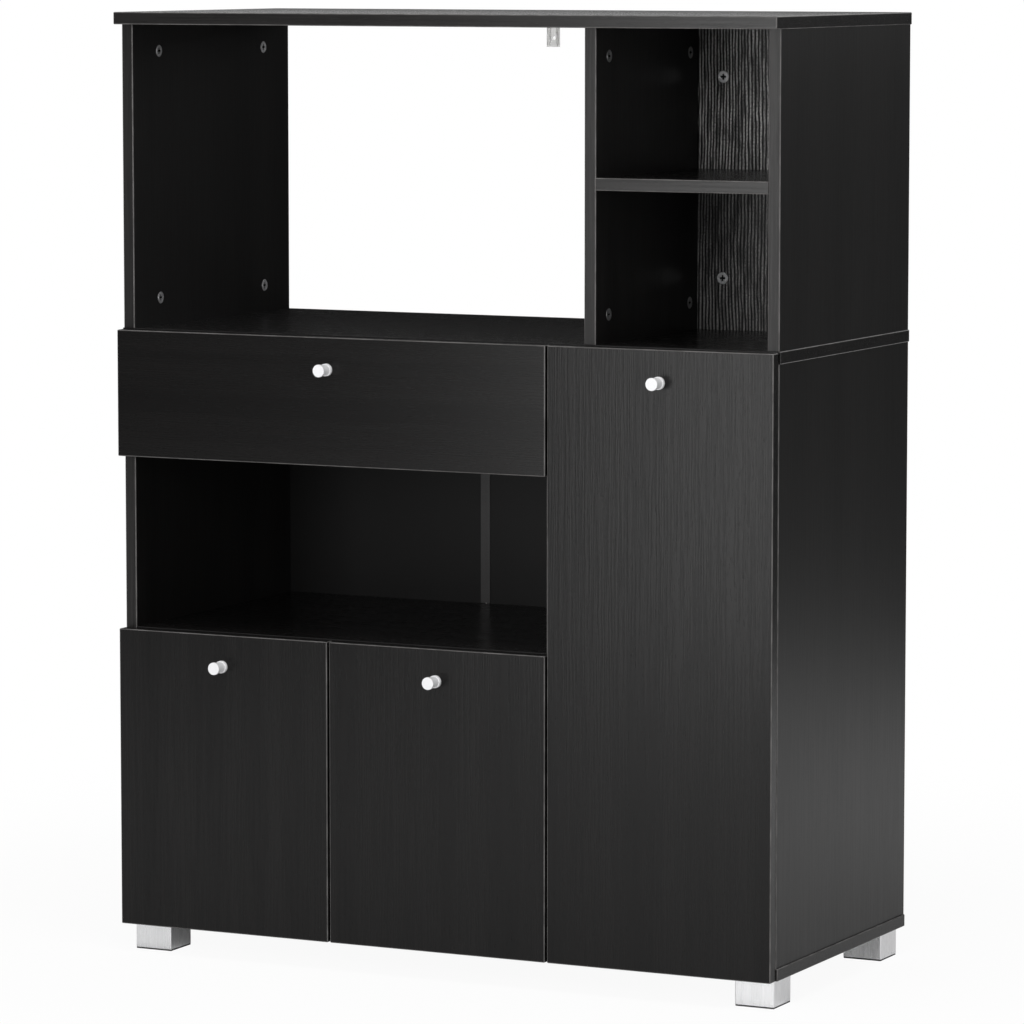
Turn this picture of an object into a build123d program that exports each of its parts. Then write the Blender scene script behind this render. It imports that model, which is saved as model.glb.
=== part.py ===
from build123d import *
import os

# Kitchen cabinet: an upper half with a microwave bay and a cubby, a lower half with a drawer, a niche,
# a pair of doors and a tall door. X runs to the viewer's right, Y to the back and Z up, in millimetres.
# The origin is on the floor, in the middle of the width and of the depth from knob tips to back.

# Overall sizes
panel_width = 880.0
overall_height = 1160.0
carcass_depth = 395.0
board = 15.0
arris = 1.3
side_inset = 2.0

# Upper faces of the counter and of the loose shelf above the floor
counter_height = 774.0
tall_shelf_height = 430.0

# Clear heights of the drawer bay and of the niche, and the cubby shelf's rise over mid-height
drawer_bay_height = 127.0
niche_height = 212.0
cubby_shelf_rise = 3.0

# Cubby in the upper half, with its back board set in from the carcass back
cubby_width = 220.0
cubby_back_inset = 90.0

# Doors and drawer front
front_thickness = 15.0
front_gap = 2.0
door_gap = 3.0
front_reveal = 1.5

# Knobs and their screws
knob_radius = 8.0
knob_length = 22.0
knob_disc = 4.0
knob_groove = 1.5
knob_groove_depth = 1.2
knob_body_step = 0.5
knob_rounding = 0.6
knob_drop = 39.0
knob_screw_radius = 2.0
knob_screw_bite = 10.0
knob_screw_head_radius = 3.8
knob_screw_head_height = 2.4

# Feet and pads
foot_size = 50.0
foot_height = 33.0
foot_inset = 8.0
foot_rounding = 1.5
pad_height = 2.0
pad_margin = 0.6
foot_screw_radius = 2.0
foot_screw_cover = 7.5
foot_screw_head_radius = 4.0
foot_screw_head_height = 2.5

# Thin back and its joining strip
back_thickness = 3.0
back_margin = 1.0
strip_place = -139.0
strip_width = 13.0
strip_web = 2.0
strip_flange = 1.0
strip_clearance = 0.2
strip_end_clearance = 0.5
nail_radius = 0.7
nail_length = 15.0
nail_head_radius = 2.5
nail_head_height = 0.8
nails_per_edge = 5

# Cam locks, cam bolts and dowels
cam_radius = 7.4
cam_skin = 2.6
cam_distance = 33.5
cam_recess_length = 7.4
cam_recess_width = 2.4
cam_recess_depth = 3.0
cam_edge = 0.4
cam_bore_radius = 3.4
cam_bore_past_centre = 2.0
bolt_thread_radius = 2.5
bolt_thread_length = 10.5
bolt_collar_radius = 3.5
bolt_collar_length = 3.0
bolt_shank_radius = 2.3
bolt_head_radius = 3.0
bolt_head_length = 5.0
dowel_radius = 4.0
dowel_length = 30.0
dowel_shallow = 10.0
dowel_spacing = 32.0
fit_clearance = 0.1
end_clearance = 0.4

# Places of the cams along the joints
lower_cam_inset = 45.0
cam_stagger_margin = 4.0
divider_cam_inset = 37.0
cubby_back_cam_inset = 63.0
shelf_cam_inset = 50.0

# Cross recesses and rounding of the screw heads
cross_length = 3.8
cross_width = 0.9
cross_depth = 1.1
head_rounding = 0.8

# Wood screws for rails, hinge plates and the bracket
screw_radius = 1.75
screw_length = 13.0
screw_head_radius = 3.2
screw_head_height = 1.6

# Drawer box and its screws
drawer_board = 12.0
drawer_lift = 10.0
drawer_top_room = 39.0
drawer_back_room = 47.0
drawer_bottom = 3.0
groove_depth = 5.0
groove_lift = 10.0
groove_clearance = 0.2
groove_end_clearance = 0.5
drawer_screw_length = 25.0
drawer_screw_margin = 22.0
drawer_front_screw_inset = 90.0

# Roller runners
rail_sheet = 1.2
rail_height = 34.0
rail_lift = 6.0
rail_setback = 2.0
rail_side_room = 1.5
rail_screw_drop = 6.0
rail_screw_inset = 30.0
track_side_room = 1.8
roller_radius = 8.0
roller_width = 6.0
roller_side_gap = 1.5
roller_end = 14.0
roller_clearance = 0.3
roller_rounding = 0.8
axle_radius = 2.5
axle_head_radius = 3.5
axle_head_height = 0.8
axle_end_play = 0.2
axle_side_room = 1.8
running_clearance = 0.05

# Concealed hinges, each with one pin
hinge_pivot_inset = 6.3
hinge_pin_radius = 1.25
hinge_eye_radius = 2.2
hinge_eye_half = 4.0
hinge_side_gap = 0.3
cup_radius = 17.5
cup_edge = 2.5
cup_skin = 2.7
cup_wall = 0.8
cup_flange = 1.0
cup_wing_width = 19.0
cup_wing_height = 62.0
cup_stud_radius = 4.0
cup_stud_length = 9.0
cup_stud_margin = 7.0
lug_reach = 9.0
arm_sheet = 2.4
arm_half = 6.0
arm_shoulder = 8.0
arm_length = 50.0
plate_base = 3.0
plate_half = 16.0
plate_setback = 12.0
plate_screw_place = 11.0
plate_screw_inset = 8.0
hinge_screw_radius = 2.4
hinge_screw_head_radius = 3.5
hinge_screw_head_height = 2.0
hinge_screw_inset = 20.0
pair_hinge_place = 85.0
tall_hinge_place = 100.0

# Loose shelf in the tall cupboard
shelf_side_gap = 1.0
shelf_front_setback = 4.0
shelf_back_gap = 16.0
pin_radius = 2.4
pin_bite = 8.0
pin_reach = 7.0
pin_tab_height = 2.0
pin_inset = 50.0
pin_row_step = 32.0
pin_rows = 3

# Bracket that ties the top panel to a wall
bracket_place = -42.0
bracket_width = 15.0
bracket_height = 31.0
bracket_depth = 22.0
bracket_wall = 2.0
bracket_rim = 7.0
bracket_ridge_width = 10.0
bracket_ridge_wall = 1.0
bracket_ridge_height = 3.0
bracket_ridge_lift = 4.0
bracket_hole_radius = 2.3
bracket_hole_drop = 20.0

# Directions
right = Vector(1, 0, 0)
back = Vector(0, 1, 0)
up = Vector(0, 0, 1)

# Planes across the width, with three doors of one width side by side
panel_end = panel_width / 2
outer = panel_end - side_inset
inner = outer - board
door_width = (2 * outer - 2 * door_gap) / 3
lower_divider_mid = outer - door_width - door_gap / 2
lower_divider_left = lower_divider_mid - board / 2
lower_divider_right = lower_divider_mid + board / 2
cubby_left = inner - cubby_width
upper_divider_left = cubby_left - board

# Planes through the depth
overall_depth = knob_length + front_thickness + front_gap + carcass_depth + back_thickness + strip_flange
face_y = knob_length - overall_depth / 2
front_back_y = face_y + front_thickness
carcass_front = front_back_y + front_gap
carcass_back = carcass_front + carcass_depth
cubby_end = carcass_back - cubby_back_inset
cubby_back_face = cubby_end - board

# Planes through the height
bottom_low = pad_height + foot_height
bottom_high = bottom_low + board
counter_low = counter_height - board
top_low = overall_height - board
drawer_deck_height = counter_low - drawer_bay_height
deck_low = drawer_deck_height - board
niche_floor_height = deck_low - niche_height
niche_floor_low = niche_floor_height - board
cubby_shelf_height = (counter_height + top_low + board) / 2 + cubby_shelf_rise
cubby_shelf_low = cubby_shelf_height - board

# Upper and lower joints meet in the counter, so the upper ones stand further in
upper_cam_inset = lower_cam_inset + dowel_spacing / 2 + cam_stagger_margin

# Sizes of the fittings that are let into boards, fronts and feet
cam_depth = board - cam_skin
cup_depth = front_thickness - cup_skin
cup_inset = cup_radius + cup_edge
cup_stud_place = cup_wing_height / 2 - cup_stud_margin
hinge_pivot_depth = cup_depth - cup_wall - hinge_eye_radius - hinge_side_gap
foot_screw_length = board - foot_screw_head_height + foot_height - foot_screw_cover

# Room beside the drawer for two rails, a roller and the head of its axle
axle_length = roller_side_gap + roller_width + axle_end_play
runner_space = 2 * rail_sheet + axle_length + axle_head_height + axle_side_room
rail_reach = runner_space - rail_sheet - rail_side_room
track_reach = runner_space - 2 * rail_sheet - track_side_room

nodes = {}
boards = {}
cuts = {}
cam_locks = []
cam_bolts = []
dowels = []
wood_screws = []
drawer_screws = []


def block(x, y, z):
    """A box between two limits on each axis."""
    (x0, x1), (y0, y1), (z0, z1) = sorted(x), sorted(y), sorted(z)
    corner = (Align.MIN, Align.MIN, Align.MIN)
    return Pos(x0, y0, z0) * Box(x1 - x0, y1 - y0, z1 - z0, align=corner)


def rod(start, direction, radius, length):
    """A cylinder that begins at a point and runs in a direction."""
    base = (Align.CENTER, Align.CENTER, Align.MIN)
    return Plane(origin=start, z_dir=direction) * Cylinder(radius, length, align=base)


def soften_all(shape):
    """Round every edge of a board."""
    return fillet(shape.edges(), arris)


def soften_front(shape):
    """Round the two long edges of a board's front edge strip."""
    strip = shape.faces().sort_by(Axis.Y)[0]
    return fillet(strip.edges().sort_by(SortBy.LENGTH)[-2:], arris)


def add_board(name, x, y, z, soften=None):
    """Register a laminated board that may be drilled later."""
    shape = block(x, y, z)
    boards[name] = soften(shape) if soften else shape
    cuts[name] = []


def nail(start, direction, radius, length, head_radius, head_height):
    """A nail whose flat head stands on the start point, with its shank running in the direction."""
    shank = rod(start, direction, radius, length)
    head = rod(start, direction * -1, head_radius, head_height)
    return shank + head


def cross_slots(length, width, top, depth):
    """Two crossed slots that go down from a level, for the tip of a driver."""
    long_way, short_way = (-length / 2, length / 2), (-width / 2, width / 2)
    deep = (top - depth, top)
    return block(long_way, short_way, deep) + block(short_way, long_way, deep)


def screw(start, direction, radius, length, head_radius, head_height):
    """A screw with a rounded, crossed head on the start point and its shank running in the direction."""
    shank = rod((0, 0, 0), up * -1, radius, length)
    head = rod((0, 0, 0), up, head_radius, head_height)
    head = fillet(head.edges().sort_by(Axis.Z)[-1], head_rounding)
    shape = shank + head - cross_slots(cross_length, cross_width, head_height, cross_depth)
    return Plane(origin=start, z_dir=direction * -1) * shape


def screw_hole(start, direction, radius, length, head_radius, head_height):
    """The hole for such a screw, with room around it."""
    shank = rod(start, direction, radius + fit_clearance, length + end_clearance)
    head = rod(start, direction * -1, head_radius + fit_clearance, head_height)
    return shank + head


# Boards of the upper half
upright_depth = (carcass_front, carcass_back)
upper_span = (counter_height, top_low)
cubby_span = (cubby_left, inner)
add_board("top_panel", (-panel_end, panel_end), (face_y, carcass_back), (top_low, overall_height), soften_all)
add_board("upper_left_side", (-outer, -inner), upright_depth, upper_span, soften_front)
add_board("upper_right_side", (inner, outer), upright_depth, upper_span, soften_front)
upper_divider_span = (upper_divider_left, cubby_left)
add_board("upper_divider", upper_divider_span, (carcass_front, cubby_end), upper_span, soften_front)
add_board("cubby_back", cubby_span, (cubby_back_face, cubby_end), upper_span)
cubby_shelf_span = (cubby_shelf_low, cubby_shelf_height)
add_board("cubby_shelf", cubby_span, (carcass_front, cubby_back_face), cubby_shelf_span, soften_front)

# Boards of the lower half
lower_span = (bottom_high, counter_low)
left_bay = (-inner, lower_divider_left)
divider_span = (lower_divider_left, lower_divider_right)
add_board("counter", (-panel_end, panel_end), upright_depth, (counter_low, counter_height), soften_all)
add_board("lower_left_side", (-outer, -inner), upright_depth, lower_span, soften_front)
add_board("lower_divider", divider_span, upright_depth, lower_span, soften_front)
add_board("lower_right_side", (inner, outer), upright_depth, lower_span, soften_front)
add_board("drawer_deck", left_bay, upright_depth, (deck_low, drawer_deck_height), soften_front)
add_board("niche_floor", left_bay, upright_depth, (niche_floor_low, niche_floor_height), soften_front)
add_board("bottom_panel", (-panel_end, panel_end), upright_depth, (bottom_low, bottom_high), soften_all)


def make_cam():
    """A cam lock lying face up, bored from its rim for the bolt that comes along -X."""
    disc = rod((0, 0, 0), up * -1, cam_radius, cam_depth)
    disc = chamfer(disc.edges().sort_by(Axis.Z)[-1], cam_edge)
    slots = cross_slots(cam_recess_length, cam_recess_width, 0, cam_recess_depth)
    bore_start = Vector(cam_bore_past_centre, 0, -board / 2)
    bore = rod(bore_start, right * -1, cam_bore_radius, cam_radius + cam_bore_past_centre)
    return disc - slots - bore


def make_bolt():
    """A cam bolt along +Z: thread below the joint, collar, shank and the head that the cam grips."""
    thread = rod((0, 0, 0), up * -1, bolt_thread_radius, bolt_thread_length)
    collar = rod((0, 0, 0), up, bolt_collar_radius, bolt_collar_length)
    shank = rod((0, 0, 0), up, bolt_shank_radius, cam_distance - bolt_head_length / 2)
    head = rod((0, 0, cam_distance - bolt_head_length), up, bolt_head_radius, bolt_head_length)
    return thread + collar + shank + head


cam_shape = make_cam()
bolt_shape = make_bolt()


def cam_joint(cam_board, bolt_board, point, into, face, toward):
    """Join two boards at a point of their contact plane with a cam lock, a bolt and a dowel.

    into runs from the contact plane into the cam's board, face points out of the face that shows
    the cam, and toward runs along the joint to the dowel.
    """
    centre = point + into * cam_distance + face * (board / 2)
    cam_locks.append(Plane(origin=centre, x_dir=into, z_dir=face) * cam_shape)
    cam_bolts.append(Plane(origin=point, z_dir=into) * bolt_shape)
    cuts[cam_board].append(rod(centre, face * -1, cam_radius + fit_clearance, cam_depth))
    cuts[cam_board].append(rod(point, into, bolt_collar_radius + fit_clearance, cam_distance))
    bolt_depth = bolt_thread_length + end_clearance
    cuts[bolt_board].append(rod(point, into * -1, bolt_thread_radius + fit_clearance, bolt_depth))
    dowel_point = point + toward * dowel_spacing
    dowel_deep = dowel_length - dowel_shallow
    dowels.append(rod(dowel_point - into * dowel_shallow, into, dowel_radius, dowel_length))
    hole_radius = dowel_radius + fit_clearance / 2
    cuts[bolt_board].append(rod(dowel_point, into * -1, hole_radius, dowel_shallow + end_clearance))
    cuts[cam_board].append(rod(dowel_point, into, hole_radius, dowel_deep + end_clearance))


def join_upright(name, middle, face, inset, end, low, high):
    """Join an upright board to the boards below and above it, near its front and its back edge."""
    for y, toward in ((carcass_front + inset, back), (end - inset, back * -1)):
        cam_joint(name, low[0], Vector(middle, y, low[1]), up, face, toward)
        cam_joint(name, high[0], Vector(middle, y, high[1]), up * -1, face, toward)


def join_shelf(name, low, left, right_board, inset, end):
    """Join a level board to the uprights at its two ends, with the cams on its underside."""
    middle = low + board / 2
    for y, toward in ((carcass_front + inset, back), (end - inset, back * -1)):
        cam_joint(name, left[0], Vector(left[1], y, middle), right, up * -1, toward)
        cam_joint(name, right_board[0], Vector(right_board[1], y, middle), right * -1, up * -1, toward)


# Joints of the upper half
side_mid = inner + board / 2
on_counter = ("counter", counter_height)
under_top = ("top_panel", top_low)
upper_divider_mid = cubby_left - board / 2
join_upright("upper_left_side", -side_mid, right, upper_cam_inset, carcass_back, on_counter, under_top)
join_upright("upper_right_side", side_mid, right * -1, upper_cam_inset, carcass_back, on_counter, under_top)
join_upright("upper_divider", upper_divider_mid, right, divider_cam_inset, cubby_end, on_counter, under_top)
at_divider = ("upper_divider", cubby_left)
at_right = ("upper_right_side", inner)
join_shelf("cubby_shelf", cubby_shelf_low, at_divider, at_right, shelf_cam_inset, cubby_back_face)
cubby_back_mid = cubby_back_face + board / 2
for cam_z, dowel_way in (
    (counter_height + cubby_back_cam_inset, up),
    (top_low - cubby_back_cam_inset, up * -1),
):
    divider_point = Vector(cubby_left, cubby_back_mid, cam_z)
    side_point = Vector(inner, cubby_back_mid, cam_z)
    cam_joint("cubby_back", "upper_divider", divider_point, right, back * -1, dowel_way)
    cam_joint("cubby_back", "upper_right_side", side_point, right * -1, back * -1, dowel_way)

# Joints of the lower half
on_bottom = ("bottom_panel", bottom_high)
under_counter = ("counter", counter_low)
for upright_name, middle, face in (
    ("lower_left_side", -side_mid, right),
    ("lower_divider", lower_divider_mid, right),
    ("lower_right_side", side_mid, right * -1),
):
    join_upright(upright_name, middle, face, lower_cam_inset, carcass_back, on_bottom, under_counter)
bay_left = ("lower_left_side", -inner)
bay_right = ("lower_divider", lower_divider_left)
join_shelf("drawer_deck", deck_low, bay_left, bay_right, upper_cam_inset, carcass_back)
join_shelf("niche_floor", niche_floor_low, bay_left, bay_right, upper_cam_inset, carcass_back)

# Thin back in two panels, with the joining strip cut to fit between the level boards
back_span = (carcass_back, carcass_back + back_thickness)
back_height = (bottom_low + back_margin, counter_height - back_margin)
half_web = strip_web / 2
half_joint = half_web + strip_clearance
nodes["back_left"] = block((-outer + back_margin, strip_place - half_joint), back_span, back_height)
nodes["back_right"] = block((strip_place + half_joint, outer - back_margin), back_span, back_height)
strip_pieces = []
for span_low, span_high in (
    (bottom_high, niche_floor_low),
    (niche_floor_height, deck_low),
    (drawer_deck_height, counter_low),
):
    reach_z = (span_low + strip_end_clearance, span_high - strip_end_clearance)
    flange_x = (strip_place - strip_width / 2, strip_place + strip_width / 2)
    front_flange = block(flange_x, (carcass_back - strip_flange, carcass_back), reach_z)
    web = block((strip_place - half_web, strip_place + half_web), back_span, reach_z)
    rear_flange = block(flange_x, (back_span[1], back_span[1] + strip_flange), reach_z)
    strip_pieces.append(front_flange + web + rear_flange)
nodes["back_strip"] = Compound(children=strip_pieces)

# Nails through the back into the edges of the uprights and of the level boards
nail_points = []
for step in range(nails_per_edge):
    share = (step + 0.5) / nails_per_edge
    nail_z = bottom_high + share * (counter_low - bottom_high)
    for edge_x, edge_board in ((-side_mid, "lower_left_side"), (side_mid, "lower_right_side")):
        nail_points.append((edge_x, nail_z, edge_board, "back_left" if edge_x < 0 else "back_right"))
    nail_points.append((lower_divider_mid, nail_z, "lower_divider", "back_right"))
    nail_x = -inner + share * 2 * inner
    panel_name = "back_left" if nail_x < strip_place else "back_right"
    for edge_low, edge_board in ((bottom_low, "bottom_panel"), (counter_low, "counter")):
        nail_points.append((nail_x, edge_low + board / 2, edge_board, panel_name))
nails = []
nail_holes = {"back_left": [], "back_right": []}
for nail_x, nail_z, edge_board, panel_name in nail_points:
    start = Vector(nail_x, back_span[1], nail_z)
    nails.append(nail(start, back * -1, nail_radius, nail_length, nail_head_radius, nail_head_height))
    hole = rod(start, back * -1, nail_radius + fit_clearance, nail_length + end_clearance)
    nail_holes[panel_name].append(hole)
    cuts[edge_board].append(hole)
for panel_name, panel_holes in nail_holes.items():
    nodes[panel_name] = nodes[panel_name] - panel_holes
nodes["back_nails"] = Compound(children=nails)

# Feet, pads and the screws that come down through the bottom panel
pads = []
foot_screws = []
foot_x = panel_end - foot_inset - foot_size / 2
foot_front = carcass_front + foot_inset + foot_size / 2
foot_back = carcass_back - foot_inset - foot_size / 2
for side_word, x in (("left", -foot_x), ("right", foot_x)):
    for end_word, y in (("front", foot_front), ("back", foot_back)):
        half = foot_size / 2
        foot = block((x - half, x + half), (y - half, y + half), (pad_height, bottom_low))
        foot = fillet(foot.edges().filter_by(Axis.Z), foot_rounding)
        seat = Vector(x, y, bottom_high - foot_screw_head_height)
        foot_screw = (foot_screw_radius, foot_screw_length, foot_screw_head_radius, foot_screw_head_height)
        hole = screw_hole(seat, up * -1, *foot_screw)
        nodes[f"foot_{end_word}_{side_word}"] = foot - hole
        cuts["bottom_panel"].append(hole)
        foot_screws.append(screw(seat, up * -1, *foot_screw))
        half = foot_size / 2 - pad_margin
        pads.append(block((x - half, x + half), (y - half, y + half), (0, pad_height)))
nodes["foot_pads"] = Compound(children=pads)
nodes["foot_screws"] = Compound(children=foot_screws)


def wood_screw(start, direction, board_name, seat):
    """Fix a fitting of seat thickness to a board with a wood screw, whose head stands on the start point."""
    head = (screw_head_radius, screw_head_height)
    wood_screws.append(screw(start, direction, screw_radius, screw_length, *head))
    pilot = rod(start, direction, screw_radius + fit_clearance, screw_length + end_clearance)
    cuts[board_name].append(pilot)
    return rod(start, direction, screw_radius + fit_clearance, seat)


# Bracket under the back edge of the top panel: an angle with a rim round three sides of its upright plate,
# and a raised U round the hole for the wall screw
bracket_x = (bracket_place - bracket_width / 2, bracket_place + bracket_width / 2)
bracket_low = top_low - bracket_height
bracket_front = carcass_back - bracket_depth
plate_front = carcass_back - bracket_wall
upright_plate = block(bracket_x, (plate_front, carcass_back), (bracket_low, top_low))
level_plate = block(bracket_x, (bracket_front, carcass_back), (top_low - bracket_wall, top_low))
bracket = upright_plate + level_plate
rim_y = (carcass_back - bracket_rim, plate_front)
for rim_x in (bracket_x[0], bracket_x[1] - bracket_wall):
    bracket = bracket + block((rim_x, rim_x + bracket_wall), rim_y, (bracket_low, top_low))
bracket = bracket + block(bracket_x, rim_y, (bracket_low, bracket_low + bracket_wall))
ridge_x = (bracket_place - bracket_ridge_width / 2, bracket_place + bracket_ridge_width / 2)
ridge_y = (plate_front - bracket_ridge_height, plate_front)
ridge_low = bracket_low + bracket_ridge_lift
for side_x in (ridge_x[0], ridge_x[1] - bracket_ridge_wall):
    bracket = bracket + block((side_x, side_x + bracket_ridge_wall), ridge_y, (ridge_low, top_low))
bracket = bracket + block(ridge_x, ridge_y, (ridge_low, ridge_low + bracket_ridge_wall))
wall_hole = Vector(bracket_place, carcass_back, top_low - bracket_hole_drop)
bracket = bracket - rod(wall_hole, back * -1, bracket_hole_radius, bracket_wall)
bracket_screw_y = carcass_back - (bracket_depth + bracket_wall) / 2
bracket_seat = Vector(bracket_place, bracket_screw_y, top_low - bracket_wall)
nodes["wall_bracket"] = bracket - wood_screw(bracket_seat, up, "top_panel", bracket_wall)

# Loose shelf in the tall cupboard, its pins and the rows of pin holes
shelf_x = (lower_divider_right + shelf_side_gap, inner - shelf_side_gap)
shelf_y = (carcass_front + shelf_front_setback, carcass_back - shelf_back_gap)
nodes["tall_shelf"] = soften_front(block(shelf_x, shelf_y, (tall_shelf_height - board, tall_shelf_height)))
pins = []
pin_z = tall_shelf_height - board - pin_radius
for wall_x, way, pin_board in ((lower_divider_right, 1, "lower_divider"), (inner, -1, "lower_right_side")):
    for y in (carcass_front + pin_inset, carcass_back - pin_inset):
        stem = rod(Vector(wall_x - way * pin_bite, y, pin_z), right * way, pin_radius, pin_bite)
        tab_top = tall_shelf_height - board
        tab_x = (wall_x, wall_x + way * pin_reach)
        tab = block(tab_x, (y - pin_radius, y + pin_radius), (tab_top - pin_radius - pin_tab_height, tab_top))
        pins.append(stem + tab)
        for row in range(pin_rows):
            mouth = Vector(wall_x, y, pin_z + (row - pin_rows // 2) * pin_row_step)
            hole_depth = pin_bite + end_clearance
            cuts[pin_board].append(rod(mouth, right * -way, pin_radius + fit_clearance, hole_depth))
nodes["shelf_pins"] = Compound(children=pins)


def make_knob(x, z):
    """A turned knob on a front: body, groove and flat disc, bored for its screw."""
    base = Vector(x, face_y, z)
    forward = back * -1
    body_length = knob_length - knob_disc - knob_groove
    body = rod(base, forward, knob_radius - knob_body_step, body_length)
    neck = rod(base + forward * body_length, forward, knob_radius - knob_groove_depth, knob_groove)
    disc = rod(base + forward * (body_length + knob_groove), forward, knob_radius, knob_disc)
    disc = fillet(disc.edges().sort_by(Axis.Y)[0], knob_rounding)
    bore = rod(base, forward, knob_screw_radius + fit_clearance, knob_screw_bite + end_clearance)
    return body + neck + disc - bore


def make_front(name, knob_name, x, z, knob_height):
    """A door or drawer front with its knob and the knob's screw."""
    front = soften_all(block(x, (face_y, front_back_y), z))
    knob_x = sum(x) / 2
    seat = Vector(knob_x, front_back_y, knob_height)
    length = front_thickness + knob_screw_bite
    through = rod(seat, back * -1, knob_screw_radius + fit_clearance, front_thickness)
    nodes[f"{knob_name}_screw"] = screw(
        seat, back * -1, knob_screw_radius, length, knob_screw_head_radius, knob_screw_head_height
    )
    nodes[knob_name] = make_knob(knob_x, knob_height)
    nodes[name] = front - through


# Drawer front and the three doors
pair_top = niche_floor_height - front_reveal
tall_top = counter_height - front_reveal
left_door_x = (-outer, -outer + door_width)
right_door_x = (-outer + door_width + door_gap, -outer + 2 * door_width + door_gap)
tall_door_x = (outer - door_width, outer)
drawer_front_x = (left_door_x[0], right_door_x[1])
make_front("drawer_front", "drawer_knob", drawer_front_x, (deck_low, tall_top), tall_top - knob_drop)
make_front("left_door", "left_knob", left_door_x, (bottom_low, pair_top), pair_top - knob_drop)
make_front("right_door", "right_knob", right_door_x, (bottom_low, pair_top), pair_top - knob_drop)
make_front("tall_door", "tall_knob", tall_door_x, (bottom_low, tall_top), tall_top - knob_drop)

# Drawer box: inner front and back between two sides, and a thin bottom held in grooves
box_left = -inner + runner_space
box_right = lower_divider_left - runner_space
box_low = drawer_deck_height + drawer_lift
box_z = (box_low, counter_low - drawer_top_room)
box_y = (front_back_y, carcass_back - drawer_back_room)
between_x = (box_left + drawer_board, box_right - drawer_board)
drawer_parts = {
    "drawer_left_side": block((box_left, box_left + drawer_board), box_y, box_z),
    "drawer_right_side": block((box_right - drawer_board, box_right), box_y, box_z),
    "drawer_inner_front": block(between_x, (box_y[0], box_y[0] + drawer_board), box_z),
    "drawer_back": block(between_x, (box_y[1] - drawer_board, box_y[1]), box_z),
}
groove_low = box_low + groove_lift
groove_x = (between_x[0] - groove_depth, between_x[1] + groove_depth)
groove_y = (box_y[0] + drawer_board - groove_depth, box_y[1] - drawer_board + groove_depth)
groove = block(groove_x, groove_y, (groove_low, groove_low + drawer_bottom + groove_clearance))
bottom_x = (groove_x[0] + groove_end_clearance, groove_x[1] - groove_end_clearance)
bottom_y = (groove_y[0] + groove_end_clearance, groove_y[1] - groove_end_clearance)
nodes["drawer_bottom"] = block(bottom_x, bottom_y, (groove_low, groove_low + drawer_bottom))
for drawer_name in drawer_parts:
    drawer_parts[drawer_name] = drawer_parts[drawer_name] - groove
drawer_parts["drawer_front"] = nodes["drawer_front"]
shank_length = drawer_screw_length - screw_head_height
drawer_screw_size = (screw_radius, shank_length, screw_head_radius, screw_head_height)


def drawer_screw(start, direction, names):
    """Add a drawer screw with its head sunk in the first piece, and bore the pieces that it passes."""
    seat = start + direction * screw_head_height
    drawer_screws.append(screw(seat, direction, *drawer_screw_size))
    hole = screw_hole(seat, direction, *drawer_screw_size)
    for name in names:
        drawer_parts[name] = drawer_parts[name] - hole


for screw_z in (box_z[0] + drawer_screw_margin, box_z[1] - drawer_screw_margin):
    for end_y, end_name in (
        (box_y[0] + drawer_board / 2, "drawer_inner_front"),
        (box_y[1] - drawer_board / 2, "drawer_back"),
    ):
        drawer_screw(Vector(box_left, end_y, screw_z), right, ("drawer_left_side", end_name))
        drawer_screw(Vector(box_right, end_y, screw_z), right * -1, ("drawer_right_side", end_name))
    for screw_x in (between_x[0] + drawer_front_screw_inset, between_x[1] - drawer_front_screw_inset):
        inside = Vector(screw_x, box_y[0] + drawer_board, screw_z)
        drawer_screw(inside, back * -1, ("drawer_inner_front", "drawer_front"))

# Roller runners: a rail on the cabinet and a rail on the drawer at each side, with one roller on each
rail_low = drawer_deck_height + rail_lift
roller_z = rail_low + rail_sheet + roller_clearance + roller_radius
track_low = roller_z + roller_radius + roller_clearance
rail_y = (carcass_front + rail_setback, box_y[1])
cabinet_roller_y = rail_y[0] + roller_end
drawer_roller_y = box_y[1] - roller_end


def make_axle(start, direction):
    """A riveted axle that stands out of a rail, with the head that keeps the roller on."""
    pin = rod(start, direction, axle_radius, axle_length)
    return pin + rod(start + direction * axle_length, direction, axle_head_radius, axle_head_height)


def make_roller(start, direction):
    """A roller on such an axle."""
    inside = start + direction * roller_side_gap
    tyre = rod(inside, direction, roller_radius, roller_width)
    tyre = fillet(tyre.edges(), roller_rounding)
    return tyre - rod(inside, direction, axle_radius + running_clearance, roller_width)


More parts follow.
